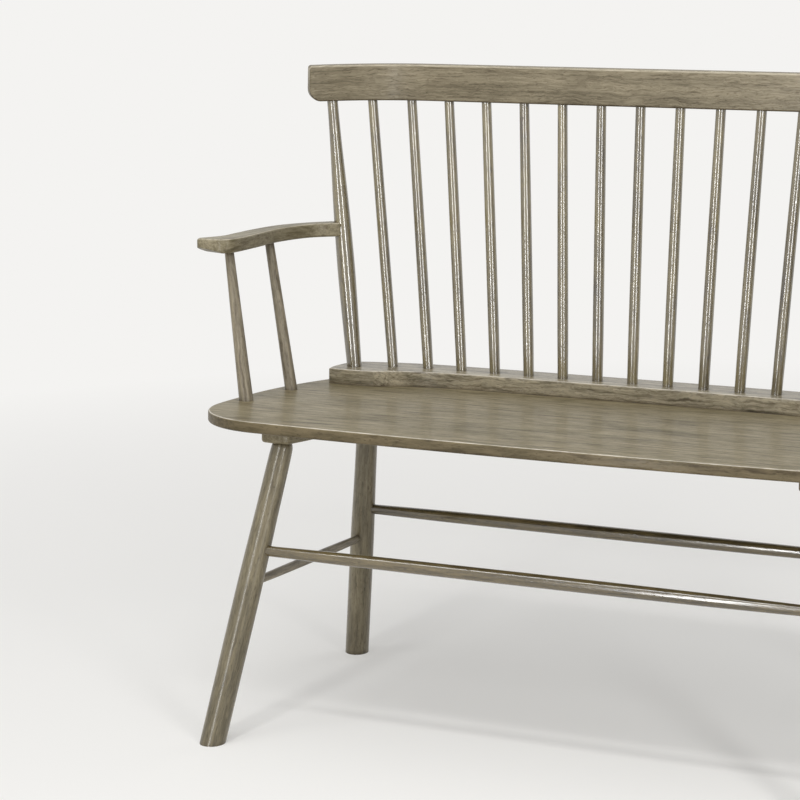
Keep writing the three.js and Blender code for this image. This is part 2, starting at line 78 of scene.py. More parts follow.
# The crest rail
CREST_STRAIGHT = 0.335  # half its straight length
CREST_RADIUS = 0.295  # of its ends, in plan
CREST_HALF_LENGTH = 0.5264  # along the curve
CREST_THICKNESS = 0.021
CREST_LOWER_RADIUS = 0.019
CREST_UPPER_RADIUS = 0.004
CREST_ROUNDING = 0.003
CREST_RECLINE = math.tan(math.radians(5.21))
CREST_EDGE_PAINTED_LIGHT_AND_WEAR = (-1, -1, 0.8, 0.8)  # of its lower front, lower back, upper back and upper front edges: painted shade on the lower ones, rubbing with a painted highlight on the upper ones
STRAIGHT_CUTS = (0, 0.12, 0.24)  # distances from its middle at which the straight length is cut
SWEEP_CUTS = 24  # of a curved end
CORNER_CUTS = 14  # of the rounded corners at its end
SECTION_STEPS = 4  # round a corner of its section

# The arms
ARM_REACH = 0.251  # from the post's axis to the front end
ARM_FLARE = 0.1256  # from the post's axis to the outer front corner
ARM_HEEL = (-0.022, -0.02)  # this and the arm's edges below are in shares of the flare and of the reach
ARM_INNER = [(-0.022, 0.055), (0.272, 0.18), (0.428, 0.41), (0.447, 0.67), (0.466, 0.86), (0.506, 0.985)]
ARM_OUTER = [(1, 1), (0.782, 0.83), (0.752, 0.69), (0.719, 0.5), (0.627, 0.275), (0.398, 0.09), (0.165, -0.02)]
ARM_FRONT_RADIUS = 0.009
ARM_PALM_RADIUS = 0.022  # at the inner front corner
ARM_BACK_RADIUS = 0.006
ARM_HEEL_RADIUS = 0.005
ARM_UNDERCUT_RISE = 0.011  # up the front face at the outer corner
ARM_UNDERCUT_DEPTH = 0.026  # back along the underside there
ARM_ROUNDING = 0.004
ARM_CURVE_STEPS = 36  # along each edge
ARM_END_STEPS = 3  # of those, left out where a corner's arc ends the edge
ARM_PALM_STEPS = 7  # the same at the inner front corner
ARM_GRAIN_FLARE = 0.62  # how far the grain follows the flare


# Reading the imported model


def node_points(node):
    """The corners of a CAD node, each once."""
    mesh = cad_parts[node].data
    points = np.empty(len(mesh.vertices) * 3)
    mesh.vertices.foreach_get("co", points)
    return np.unique(points.reshape(-1, 3).round(6), axis=0)


def across(axis):
    """Two directions at right angles to an axis and to each other."""
    side = np.cross(axis, Y_AXIS if abs(axis[1]) < NEAR_AXIS else X_AXIS)
    side /= np.linalg.norm(side)
    return side, np.cross(axis, side)


def ring_radii(offsets, axis):
    """The radii at which a group of corners makes a full ring about an axis."""
    side, other = across(axis)
    radii = np.hypot(offsets @ side, offsets @ other)
    angles = np.arctan2(offsets @ other, offsets @ side)
    order = np.argsort(radii)
    found = []
    for group in np.split(order, np.nonzero(np.diff(radii[order]) > SAME_RADIUS)[0] + 1):
        turn = np.sort(angles[group])
        widest_gap = np.diff(turn, append=turn[0] + 2 * math.pi).max()
        if widest_gap < WIDEST_GAP:
            found.append(float(radii[group].mean()))
    return found


def find_rings(points, start, axis):
    """(distance along the axis, middle, radii) of every full ring of a turned node."""
    along = (points - start) @ axis
    order = np.argsort(along)
    rings = []
    for group in np.split(order, np.nonzero(np.diff(along[order]) > RING_GAP)[0] + 1):
        middle = points[group].mean(0)
        radii = ring_radii(points[group] - middle, axis)
        if radii:
            rings.append((float((middle - start) @ axis), middle, radii))
    return rings


def read_turning(node, toward):
    """Start, heading and (distance, radius) stations of a turned CAD node, heading roughly toward a direction."""
    points = node_points(node)
    start = points.mean(0)
    axis = np.linalg.svd(points - start)[2][0]
    axis *= math.copysign(1, axis @ np.array(toward))
    for _ in range(AXIS_PASSES):
        middles = np.array([ring[1] for ring in find_rings(points, start, axis)])
        start, axis = middles[0], middles[-1] - middles[0]
        axis /= np.linalg.norm(axis)
    stations = []
    for distance, _, radii in find_rings(points, start, axis):
        last = stations[-1][1] if stations else radii[0]
        stations += [(distance, r) for r in sorted(radii, key=lambda r: abs(r - last))]
    return start, axis, stations


def main_normal(node):
    """The upward normal of a CAD board's broad faces."""
    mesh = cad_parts[node].data
    sums = {}
    for face in mesh.polygons:
        normal = face.normal if face.normal.z > 0 else -face.normal
        key = tuple(round(c, 2) for c in normal)
        sums[key] = sums.get(key, Vector()) + normal * face.area
    return np.array(max(sums.values(), key=lambda n: n.length).normalized())


def board_frame(node, origin=(0, 0, 0)):
    """A frame on a CAD board's lower face, straight under or over a point, with z along its normal, and the board's
    thickness."""
    normal = main_normal(node)
    heights = node_points(node) @ normal
    x = X_AXIS - normal * (X_AXIS @ normal)
    x /= np.linalg.norm(x)
    at = np.array(origin) + normal * (heights.min() - np.array(origin) @ normal)
    matrix = Matrix.Identity(4)
    for column, vector in enumerate((x, np.cross(normal, x), normal, at)):
        for row in range(3):
            matrix[row][column] = vector[row]
    return matrix, float(heights.max() - heights.min())


def slice_outline(node, matrix, height):
    """The outer outline, counterclockwise in the board's frame, of a CAD board cut at a height over its lower face."""
    to_board = matrix.inverted()
    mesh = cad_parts[node].data
    corners = [to_board @ v.co for v in mesh.vertices]
    links = {}  # from the point where a face's rim goes down through the cut to the one where it comes up again
    for face in mesh.polygons:
        ends = []
        ring = [corners[i] for i in face.vertices]
        for a, b in zip(ring, ring[1:] + ring[:1]):
            if (a.z > height) != (b.z > height):
                p = a.lerp(b, (height - a.z) / (b.z - a.z))
                ends.append(((round(p.x, 6), round(p.y, 6)), a.z > height))
        if len(ends) == 2 and ends[0][0] != ends[1][0]:
            down, up = (ends[0][0], ends[1][0]) if ends[0][1] else (ends[1][0], ends[0][0])
            links[down] = up
    loops = []
    while links:
        first, point = links.popitem()
        loop = [first]
        while point != first and point in links:
            loop.append(point)
            point = links.pop(point)
        loops.append(np.array(loop))
    outer = max(loops, key=lambda loop: np.ptp(loop, axis=0).max())
    return without_flat_points(outer if area(outer) > 0 else outer[::-1])


def area(loop):
    """The area in an outline, below zero where it runs clockwise."""
    x, y = loop.T
    return 0.5 * float(np.sum(x * np.roll(y, -1) - y * np.roll(x, -1)))


def without_flat_points(loop):
    """An outline without the points at which it hardly bends."""
    back, on = loop - np.roll(loop, 1, axis=0), np.roll(loop, -1, axis=0) - loop
    turn = back[:, 0] * on[:, 1] - back[:, 1] * on[:, 0]
    bend = np.abs(turn) / np.maximum(np.linalg.norm(back, axis=1) * np.linalg.norm(on, axis=1), TINY)
    return loop[bend > LEAST_BEND]


# Curves


def slopes(x, y):
    """Slopes at the points of a curve that never overshoots them."""
    step = np.diff(y) / np.diff(x)
    inner = np.zeros(len(x) - 2)
    same = step[:-1] * step[1:] > 0
    inner[same] = 2 / (1 / step[:-1][same] + 1 / step[1:][same])
    return np.concatenate([[step[0]], inner, [step[-1]]])


def faired(run):
    """Finer stations on a smooth profile through a run of stations."""
    if len(run) < 3:
        return run
    x, y = np.array(run).T
    slope = slopes(x, y)
    fine = []
    for i in range(len(x) - 1):
        width = x[i + 1] - x[i]
        for t in np.arange(PROFILE_STEPS) / PROFILE_STEPS:
            u = 1 - t
            value = y[i] * (1 + 2 * t) * u * u + y[i + 1] * t * t * (3 - 2 * t)
            value += width * t * u * (slope[i] * u - slope[i + 1] * t)
            fine.append((x[i] + width * t, value))
    return fine + [run[-1]]


def smooth_profile(stations):
    """A faired profile, with its square shoulders kept."""
    runs = [[stations[0]]]
    for station in stations[1:]:
        if station[0] - runs[-1][-1][0] < RING_GAP:
            runs.append([])
        runs[-1].append(station)
    return [station for run in runs for station in faired(run)]


def catmull_rom(points, steps):
    """Points at equal steps of the whole curve through the given points."""
    points = [np.array(p, float) for p in points]
    made = []
    for k in range(steps + 1):
        place = k / steps * (len(points) - 1)
        i = min(int(place), len(points) - 2)
        t = place - i
        a, b = points[max(i - 1, 0)], points[i]
        c, d = points[i + 1], points[min(i + 2, len(points) - 1)]
        made.append(0.5 * (2 * b + (c - a) * t + (2 * a - 5 * b + 4 * c - d) * t**2 + (3 * b - a - 3 * c + d) * t**3))
    return made


def round_corner(before, corner, after, radius, steps=6):
    """Points of the arc that rounds a corner between its two neighbours."""
    back, on = before - corner, after - corner
    back, on = back / np.linalg.norm(back), on / np.linalg.norm(on)
    half = math.acos(float(back @ on)) / 2
    middle = corner + (back + on) / np.linalg.norm(back + on) * radius / math.sin(half)
    turn = math.pi - 2 * half
    start = corner + back * radius / math.tan(half) - middle
    sign = -math.copysign(1, back[0] * on[1] - back[1] * on[0])
    made = []
    for k in range(steps + 1):
        c, s = math.cos(sign * turn * k / steps), math.sin(sign * turn * k / steps)
        made.append(middle + np.array([start[0] * c - start[1] * s, start[0] * s + start[1] * c]))
    return made


def refined(loop):
    """A closed outline with short steps on a smooth curve through its points."""
    count = len(loop)
    made = []
    for i in range(count):
        a, b, c, d = (loop[(i + k) % count] for k in (-1, 0, 1, 2))
        length = np.linalg.norm(c - b)
        start = arc_tangent(a, b, c) * length
        end = arc_tangent(b, c, d) * length
        steps = max(2, math.ceil(length / OUTLINE_STEP))
        for k in range(steps):
            t = k / steps
            u = 1 - t
            made.append(b * (1 + 2 * t) * u * u + c * t * t * (3 - 2 * t) + start * t * u * u - end * t * t * u)
    return np.array(made)


def arc_tangent(a, b, c):
    """The heading at b of the circle through three points, which leans to the shorter chord's side."""
    back, on = b - a, c - b
    lengths = np.linalg.norm(back), np.linalg.norm(on)
    heading = back / lengths[0] * lengths[1] + on / lengths[1] * lengths[0]
    return heading / np.linalg.norm(heading)


# Building meshes


def make_piece(name, points, faces, grain, wear_and_painted_light, material, replaced):
    """A shaded piece that knows its grain, in metres along and across it, and at each point its mark of painted shade
    (below 0) and of rubbing with a painted highlight (above 0).
    """
    mesh = bpy.data.meshes.new(name)
    mesh.from_pydata([tuple(p) for p in points], [], faces)
    shift = np.array([draw.uniform(0, GRAIN_SHIFT) for _ in range(3)])
    attribute = mesh.attributes.new("grain", "FLOAT_VECTOR", "POINT")
    attribute.data.foreach_set("vector", (np.array(grain) + shift).ravel())
    mesh.attributes.new("wear_and_painted_light", "FLOAT", "POINT").data.foreach_set("value", np.array(wear_and_painted_light, float))
    mesh.materials.append(material)
    mesh.polygons.foreach_set("use_smooth", [True] * len(mesh.polygons))
    mesh.set_sharp_from_angle(angle=SHARP_ANGLE)
    mesh.validate()
    piece = bpy.data.objects.new(name, mesh)
    bpy.context.scene.collection.objects.link(piece)
    weighted = piece.modifiers.new("normals", "WEIGHTED_NORMAL")
    weighted.keep_sharp = True
    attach(piece, "root")
    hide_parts(replaced)
    return piece


def skin(rings):
    """Faces of a closed skin over rings of the same count, with a face over each end."""
    count = len(rings[0])
    faces = []
    for i in range(len(rings) - 1):
        for j in range(count):
            k = (j + 1) % count
            faces.append((i * count + j, i * count + k, (i + 1) * count + k, (i + 1) * count + j))
    faces.append(tuple(reversed(range(count))))
    faces.append(tuple(range((len(rings) - 1) * count, len(rings) * count)))
    return faces


def turn_again(node, toward, material, to_floor=False):
    """A turned CAD node made round: the same axis and rings, with many sides and a faired profile. A leg is carried
    on to the floor and cut level there."""
    start, axis, stations = read_turning(node, toward)
    side, other = across(axis)
    if to_floor:
        stations.append((-start[2] / axis[2], stations[-1][1]))
    profile = smooth_profile(stations)
    angles = np.arange(SIDES) * 2 * math.pi / SIDES
    spokes = np.outer(np.cos(angles), side) + np.outer(np.sin(angles), other)
    points, grain = [], []
    for distance, radius in profile:
        ring = start + axis * distance + spokes * radius
        if to_floor and distance == profile[-1][0]:
            ring -= np.outer(ring[:, 2] / axis[2], axis)
        points += list(ring)
        grain += [(distance, math.cos(a) * radius, math.sin(a) * radius) for a in angles]
    rings = [range(SIDES)] * len(profile)
    return make_piece(f"{node}_turned", points, skin(rings), grain, [0] * len(points), material, node)


def inward(loop, depth):
    """A counterclockwise outline moved inward by a depth."""
    back, on = loop - np.roll(loop, 1, axis=0), np.roll(loop, -1, axis=0) - loop
    normals = [np.stack([-e[:, 1], e[:, 0]], 1) / np.linalg.norm(e, axis=1)[:, None] for e in (back, on)]
    middle = normals[0] + normals[1]
    middle /= np.linalg.norm(middle, axis=1)[:, None]
    return loop + middle * depth / np.sum(middle * normals[1], axis=1)[:, None]


def rounded_levels(thickness, low_rounding, high_rounding):
    """(height, inset, mark) of the rings that make a board's edges, from the lower face up; the mark is painted shade
    on the sides and the lower rounding, and rubbing with a painted highlight on the upper rounding. A rounding of 0
    leaves an edge square."""
    rounding_steps = len(UPPER_EDGE_PAINTED_LIGHT_AND_WEAR) - 1
    steps = np.arange(rounding_steps + 1) / rounding_steps * math.pi / 2
    drawn_in = [(1 - math.sin(a), 1 - math.cos(a)) for a in steps]
    low = [(0.0, 0.0, SIDE_SHADE)]
    high = [(thickness, 0.0, SIDE_SHADE)]
    if low_rounding:
        low = [(low_rounding * up, low_rounding * inset, SIDE_SHADE) for up, inset in reversed(drawn_in)]
    if high_rounding:
        high = [
            (thickness - high_rounding * up, high_rounding * inset, wear_and_painted_light)
            for (up, inset), wear_and_painted_light in zip(drawn_in, UPPER_EDGE_PAINTED_LIGHT_AND_WEAR)
        ]
    return low + high


def make_board(node, loop, matrix, thickness, roundings, along, material):
    """A board with softened edges over an outline, its grain along a direction of its own frame."""
    along = np.array(along, float) / np.linalg.norm(along)
    points, grain, wear_and_painted_light = [], [], []
    levels = rounded_levels(thickness, *roundings)
    for height, inset, amount in levels:
        ring = inward(loop, inset) if inset else loop
        for x, y in ring:
            points.append(matrix @ Vector((x, y, height)))
            grain.append((x * along[0] + y * along[1], y * along[0] - x * along[1], height))
            wear_and_painted_light.append(amount)
    return make_piece(f"{node}_board", points, skin([loop] * len(levels)), grain, wear_and_painted_light, material, node)


def rounded_section(half, low, high, radius):
    """A rounded rectangle of (back, up) points, counterclockwise from the lower front."""
    corners = [np.array(c) for c in ((-half, low), (half, low), (half, high), (-half, high))]
    made = []
    for i, corner in enumerate(corners):
        made += round_corner(corners[i - 1], corner, corners[(i + 1) % 4], radius, SECTION_STEPS)
    return made


def corner_draw(distance, radius):
    """How far a rounded corner has drawn in at a distance from the end."""
    if distance >= radius:
        return 0
    return radius - math.sqrt(radius**2 - (radius - distance) ** 2)


def crest_cuts():
    """Distances from the crest's middle along its curve, closer together in the curved ends and at their corners."""
    sweep = np.linspace(CREST_STRAIGHT, CREST_HALF_LENGTH - CREST_LOWER_RADIUS, SWEEP_CUTS)
    turn = np.linspace(0, math.pi / 2, CORNER_CUTS)[1:]
    corner = CREST_HALF_LENGTH - CREST_LOWER_RADIUS * (1 - np.sin(turn))
    right = [*STRAIGHT_CUTS, *sweep, *corner]
    return [-distance for distance in right[:0:-1]] + right


def crest_section(from_end, height):
    """The crest's section at a distance from its end, where its corners draw it in."""
    half = CREST_THICKNESS / 2 - corner_draw(from_end, CREST_ROUNDING)
    bottom = corner_draw(from_end, CREST_LOWER_RADIUS)
    top = height - corner_draw(from_end, CREST_UPPER_RADIUS)
    return rounded_section(half, bottom, top, CREST_ROUNDING)


def make_crest(material):
    """The crest rail: one section, drawn in at the corners, along a curve that sweeps forward at both ends."""
    low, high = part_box("crest_rail")
    height = high.z - low.z
    row = high.y - CREST_THICKNESS / 2 - (height - CREST_ROUNDING) * CREST_RECLINE
    cuts = crest_cuts()
    points, grain, wear_and_painted_light = [], [], []
    for distance in cuts:
        angle = max(abs(distance) - CREST_STRAIGHT, 0) / CREST_RADIUS
        x = math.copysign(min(abs(distance), CREST_STRAIGHT) + CREST_RADIUS * math.sin(angle), distance)
        forward = CREST_RADIUS * (1 - math.cos(angle))
        angle = math.copysign(angle, distance)
        section = crest_section(CREST_HALF_LENGTH - abs(distance), height)
        for i, (back, up) in enumerate(section):
            y = row + back * math.cos(angle) - forward + up * CREST_RECLINE
            points.append((x + back * math.sin(angle), y, low.z + up))
            grain.append((distance, up, back))
            corner, step = divmod(i, SECTION_STEPS + 1)
            wear_and_painted_light.append(CREST_EDGE_PAINTED_LIGHT_AND_WEAR[corner] if 0 < step < SECTION_STEPS else 0)
    faces = skin([section] * len(cuts))
    return make_piece("crest_rail_bent", points, faces, grain, wear_and_painted_light, material, "crest_rail")


def arm_outline(side):
    """An arm's outline, counterclockwise and with the post's axis at its origin, and its outer and inner front
    corners."""

    def place(share):
        return np.array((side * share[0] * ARM_FLARE, -share[1] * ARM_REACH))

    inner = catmull_rom([place(share) for share in ARM_INNER], ARM_CURVE_STEPS)
    outer = catmull_rom([place(share) for share in ARM_OUTER], ARM_CURVE_STEPS)
    heel = place(ARM_HEEL)
    loop = np.array(
        round_corner(outer[-1], heel, inner[0], ARM_BACK_RADIUS)
        + round_corner(heel, inner[0], inner[1], ARM_HEEL_RADIUS)
        + inner[ARM_END_STEPS:-ARM_PALM_STEPS]
        + round_corner(inner[-2], inner[-1], outer[0], ARM_PALM_RADIUS)
        + round_corner(inner[-1], outer[0], outer[1], ARM_FRONT_RADIUS)
        + outer[ARM_END_STEPS:-ARM_END_STEPS]
        + round_corner(outer[-2], outer[-1], heel, ARM_BACK_RADIUS)
    )
    return loop if area(loop) > 0 else loop[::-1], outer[0], inner[-1]


def make_arm(side, material):
    """An arm with a paddle end, S-curved in plan from its post and undercut at its outer front corner."""
    name = SIDE_NAMES[side]
    node = f"arm_{name}"
    start, axis, _ = read_turning(f"post_{name}", (0, 0, 1))
    normal = main_normal(node)
    heights = node_points(node) @ normal
    root = start + axis * ((heights.min() + heights.max()) / 2 - start @ normal) / (axis @ normal)
    matrix, thickness = board_frame(node, root)
    loop, outer_corner, inner_corner = arm_outline(side)
    along = (side * ARM_GRAIN_FLARE * ARM_FLARE, -ARM_REACH)
    arm = make_board(node, loop, matrix, thickness, (ARM_ROUNDING, ARM_ROUNDING), along, material)
    undercut = (
        (*outer_corner, ARM_UNDERCUT_RISE),
        (outer_corner[0], outer_corner[1] + ARM_UNDERCUT_DEPTH, 0),
        (*inner_corner, 0),
    )
    cut_off(arm, [matrix @ Vector(point) for point in undercut])
    return arm


def cut_off(piece, corners):
    """Cut away what lies under the plane through three points."""
    normal = (corners[1] - corners[0]).cross(corners[2] - corners[0]).normalized()
    shape = bmesh.new()
    shape.from_mesh(piece.data)
    everything = shape.verts[:] + shape.edges[:] + shape.faces[:]
    upward = normal if normal.z > 0 else -normal
    made = bmesh.ops.bisect_plane(shape, geom=everything, plane_co=corners[0], plane_no=upward, clear_inner=True)
    edges = [part for part in made["geom_cut"] if isinstance(part, bmesh.types.BMEdge)]
    bmesh.ops.edgeloop_fill(shape, edges=edges)
    bmesh.ops.recalc_face_normals(shape, faces=shape.faces)
    shape.to_mesh(piece.data)
    shape.free()


# Materials


MIX_A, MIX_B, MIX_RESULT = 6, 7, 2  # the colour sockets of a Mix node
STAIN_AND_SHADE = (0.42, 0.37, 0.31, 1.0)  # what the darker stain leaves of the colour under it; the same darkening also paints shade


class Shader:
    """The nodes of a material, or of the world, under construction."""

    def __init__(self, name, collection=bpy.data.materials):
        self.owner = collection.new(name)
        self.owner.use_nodes = True
        self.tree = self.owner.node_tree
        self.tree.nodes.clear()

    def node(self, kind, inputs=None, **settings):
        """A node whose inputs are linked to sockets or set to values."""
        made = self.tree.nodes.new(kind)
        for key, value in settings.items():
            setattr(made, key, value)
        for key, value in (inputs or {}).items():
            if isinstance(value, bpy.types.NodeSocket):
                self.tree.links.new(value, made.inputs[key])
            else:
                made.inputs[key].default_value = value
        return made

    def attribute(self, name, output):
        """A value that the mesh holds at each of its points."""
        return self.node("ShaderNodeAttribute", attribute_name=name).outputs[output]

    def stretched_noise(self, coordinate, along, across, detail=2.0, roughness=0.5):
        """Noise with so many grains in a metre along and across the wood."""
        scaled = self.node("ShaderNodeMapping", {"Vector": coordinate, "Scale": (along, across, across)})
        inputs = {"Vector": scaled.outputs[0], "Scale": 1.0, "Detail": detail, "Roughness": roughness}
        return self.node("ShaderNodeTexNoise", inputs).outputs["Fac"]

    def wandering(self, coordinate, scale, reach):
        """The coordinate, pushed to and fro across the grain, scale times in a metre."""
        noise = self.node("ShaderNodeTexNoise", {"Vector": coordinate, "Scale": scale, "Detail": 1.0}).outputs["Color"]
        push = self.node("ShaderNodeVectorMath", {0: noise, 1: (0.0, reach, reach)}, operation="MULTIPLY").outputs[0]
        return self.node("ShaderNodeVectorMath", {0: coordinate, 1: push}, operation="ADD").outputs[0]

    def spread(self, value, low, high, to_low=0.0, to_high=1.0):
        """A value spread from one range over another, and kept within that."""
        inputs = {"Value": value, "From Min": low, "From Max": high, "To Min": to_low, "To Max": to_high}
        return self.node("ShaderNodeMapRange", inputs).outputs[0]

    def math(self, operation, a, b):
        """The outcome of an operation on two values."""
        return self.node("ShaderNodeMath", {0: a, 1: b}, operation=operation).outputs[0]

    def seen_or_mirrored(self):
        """1 for what the camera sees, also in or through another surface, and 0 for diffuse light."""
        path = self.node("ShaderNodeLightPath").outputs
        mirrored = self.math("MAXIMUM", path["Is Glossy Ray"], path["Is Transmission Ray"])
        return self.math("MAXIMUM", path["Is Camera Ray"], mirrored)

    def mix(self, share, a, b, blend="MIX"):
        """A share of colour b over colour a."""
        inputs = {"Factor": share, MIX_A: a, MIX_B: b}
        return self.node("ShaderNodeMix", inputs, data_type="RGBA", blend_type=blend).outputs[MIX_RESULT]

    def stained_and_shaded(self, colour, share):
        """The colour with a share of the darker stain over it: real stain in flecks and pores, painted shade on sides
        and in corners.
        """
        return self.mix(share, colour, self.mix(1.0, colour, STAIN_AND_SHADE, "MULTIPLY"))


# The figure, as grains in a metre along and across the wood
BANDS = (3.0, 45.0)
STREAKS = (8.0, 160.0)
FIBRES = (22.0, 250.0)
PORES = (110.0, 650.0)
CLOUDS = (13.0, 24.0)
WAVES = 24.0  # of the wandering figure, in a metre
RIPPLES = 85.0  # smaller ones over those

# The values between which each noise takes effect
SOFT_RANGE = (0.35, 0.65)
FIBRE_RANGE = (0.38, 0.62)
FLECK_RANGE = (0.52, 0.66)
PIT_RANGE = (0.62, 0.7)
BREAK_RANGE = (0.35, 0.6)
SHEEN_RANGE = (0.3, 0.7)
CORNER_SHADE_RANGE = (0.35, 0.85)  # of the open share of a point's surroundings, for the painted shade in corners

FIBRE_SHARE = 0.45  # of the tone
FLECK_BREAKS = (1.0, 0.4)  # what low and high fibres leave of a fleck
RUB_AND_HIGHLIGHT_BREAKS = (0.4, 0.9)  # what they leave of the pale rubbing and painted highlight on the edges
PIT_STAIN = 0.6  # the share of stain in a pit
CORNER_SHADE_REACH = 0.011  # how far from a corner the painted shade reaches
CORNER_SHADE_SAMPLES = 6
FIBRE_RELIEF = 0.6  # as a share of a pit's depth
PIT_DEPTH = 0.0004
WOOD_ROUGHNESS = (0.52, 0.4)  # of low and of high fibres
WOOD_SPECULAR = 0.2
STEEL_ROUGHNESS = (0.28, 0.45)  # least and most dulled


def linear(code):
    """A hex colour as linear RGBA."""
    channels = [int(code[i : i + 2], 16) / 255 for i in (1, 3, 5)]
    return (*[c / 12.92 if c <= 0.04045 else ((c + 0.055) / 1.055) ** 2.4 for c in channels], 1.0)


def wood_tone(s, grain, figure, fibres, light, dark, breadth, cloudiness):
    """The colour between dark and light that bands, soft clouds and fibres give together."""
    bands = s.stretched_noise(figure, BANDS[0], BANDS[1] / breadth, detail=3.0, roughness=0.55)
    clouds = s.stretched_noise(grain, *CLOUDS)
    tone = s.math("MULTIPLY", s.spread(bands, *SOFT_RANGE), 1 - FIBRE_SHARE - cloudiness)
    tone = s.math("ADD", tone, s.math("MULTIPLY", s.spread(clouds, *SOFT_RANGE), cloudiness))
    tone = s.math("ADD", tone, s.math("MULTIPLY", s.spread(fibres, *FIBRE_RANGE), FIBRE_SHARE))
    return s.mix(tone, linear(dark), linear(light))


def shaded_and_worn(s, colour, fibres, pale, sides):
    """The colour with painted shade on a board's sides and in the corners, and pale rubbing with a painted highlight
    along its upper edges.
    """
    wear_and_painted_light = s.attribute("wear_and_painted_light", "Fac")
    # painted shade on a board's sides and lower edges
    colour = s.stained_and_shaded(colour, s.spread(wear_and_painted_light, 0.0, SIDE_SHADE, 0.0, sides))
    rubbed_and_highlit = s.math("MULTIPLY", s.spread(wear_and_painted_light, 0.0, 1.0), s.spread(fibres, *BREAK_RANGE, *RUB_AND_HIGHLIGHT_BREAKS))
    colour = s.mix(rubbed_and_highlit, colour, linear(pale))
    # painted shade in corners and joints, from ambient occlusion
    corner = s.node("ShaderNodeAmbientOcclusion", {"Distance": CORNER_SHADE_REACH}, samples=CORNER_SHADE_SAMPLES)
    return s.stained_and_shaded(colour, s.spread(corner.outputs["AO"], *CORNER_SHADE_RANGE, 1.0, 0.0))


def wood(name, light, dark, pale="#b3a994", breadth=1.0, wave=0.006, flecks=0.5, cloudiness=0.2, sides=0.0,
         gloss=0.5, gloss_ior=1.5, gloss_blur=0.15, relief=0.3):
    """Stained wood under a satin lacquer, with lengthwise bands, wandering fibres, dark flecks and short pores.
    Breadth widens the figure, wave is how far it wanders, in metres, cloudiness is the clouds' share of the tone,
    flecks is the share of darker stain in the flecks, sides is the share of painted shade on a board's sides, and pale
    is the colour of the upper edges, pale from rubbing and a painted highlight. The gloss values are the lacquer's,
    and relief is the strength of the fibres and pits."""
    s = Shader(name)
    grain = s.attribute("grain", "Vector")
    figure = s.wandering(s.wandering(grain, WAVES, wave), RIPPLES, wave / 3)
    streaks = s.stretched_noise(figure, STREAKS[0], STREAKS[1] / breadth, detail=3.0, roughness=0.6)
    fibres = s.stretched_noise(figure, FIBRES[0], FIBRES[1] / breadth, detail=4.0, roughness=0.7)
    pits = s.spread(s.stretched_noise(figure, *PORES, detail=1.0), *PIT_RANGE)

    colour = wood_tone(s, grain, figure, fibres, light, dark, breadth, cloudiness)
    broken = s.math("MULTIPLY", s.spread(streaks, *FLECK_RANGE), s.spread(fibres, *BREAK_RANGE, *FLECK_BREAKS))
    colour = s.stained_and_shaded(colour, s.math("MULTIPLY", broken, flecks))
    colour = s.stained_and_shaded(colour, s.math("MULTIPLY", pits, PIT_STAIN))
    colour = shaded_and_worn(s, colour, fibres, pale, sides)

    height = s.math("SUBTRACT", s.math("MULTIPLY", fibres, FIBRE_RELIEF), pits)
    bump = s.node("ShaderNodeBump", {"Height": height, "Strength": relief, "Distance": PIT_DEPTH}).outputs[0]
    surface = s.node("ShaderNodeBsdfPrincipled", {
        "Base Color": colour, "Roughness": s.spread(fibres, *SHEEN_RANGE, *WOOD_ROUGHNESS), "Normal": bump,
        "Specular IOR Level": WOOD_SPECULAR, "Coat Weight": gloss, "Coat Roughness": gloss_blur,
        "Coat IOR": gloss_ior, "Coat Normal": bump,
    })
    s.node("ShaderNodeOutputMaterial", {"Surface": surface.outputs[0]})
    return s.owner


def steel(name, dark, light, specks=900.0):
    """Plated steel, dulled in small specks, so many in a metre."""
    s = Shader(name)
    place = s.node("ShaderNodeTexCoord").outputs["Object"]
    dull = s.node("ShaderNodeTexNoise", {"Vector": place, "Scale": specks, "Detail": 2.0}).outputs["Fac"]
    surface = s.node("ShaderNodeBsdfPrincipled", {
        "Base Color": s.mix(dull, linear(dark), linear(light)),
        "Roughness": s.spread(dull, *SHEEN_RANGE, *STEEL_ROUGHNESS), "Metallic": 1.0,
    })
    s.node("ShaderNodeOutputMaterial", {"Surface": surface.outputs[0]})
    return s.owner


# pale paints a highlight over the rubbing on upper edges; sides is the share of painted shade on a board's sides
seat_wood = wood("seat_wood", "#93886d", "#585036", pale="#efe8dd", breadth=1.6, flecks=0.9, sides=0.75, gloss=0.1)
rail_wood = wood("rail_wood", "#a89e86", "#443c27", pale="#e6dfd2", breadth=0.8, wave=0.01, flecks=1.0,
                 cloudiness=0.1, gloss=0.4)
crest_wood = wood("crest_wood", "#8f856f", "#524a38", pale="#bdb4a0", breadth=0.55, wave=0.009, flecks=0.7,
                  sides=0.6, gloss=0.08)
arm_wood = wood("arm_wood", "#958c74", "#58503a", pale="#c9c0ad", wave=0.01, flecks=0.6, cloudiness=0.3, gloss=0.15)
batten_wood = wood("batten_wood", "#978d73", "#5f563e", sides=0.2, gloss=0.2)
spindle_wood = wood("spindle_wood", "#80744f", "#352b16", flecks=1.0, cloudiness=0.1, gloss=1.0, gloss_ior=2.1,
                    gloss_blur=0.13, relief=0.1)
support_wood = wood("support_wood", "#948a76", "#463f2f", flecks=1.0, cloudiness=0.1, gloss=0.3, gloss_blur=0.3)
leg_wood = wood("leg_wood", "#877d64", "#494230", cloudiness=0.15, gloss=0.8, gloss_blur=0.24, relief=0.08)
stretcher_wood = wood("stretcher_wood", "#706241", "#2f2612", flecks=0.8, cloudiness=0.1, gloss=1.0, gloss_ior=1.8,
                      gloss_blur=0.14, relief=0.15)
screw_steel = steel("screw_steel", "#7f7f7d", "#a3a3a0")


# The bench


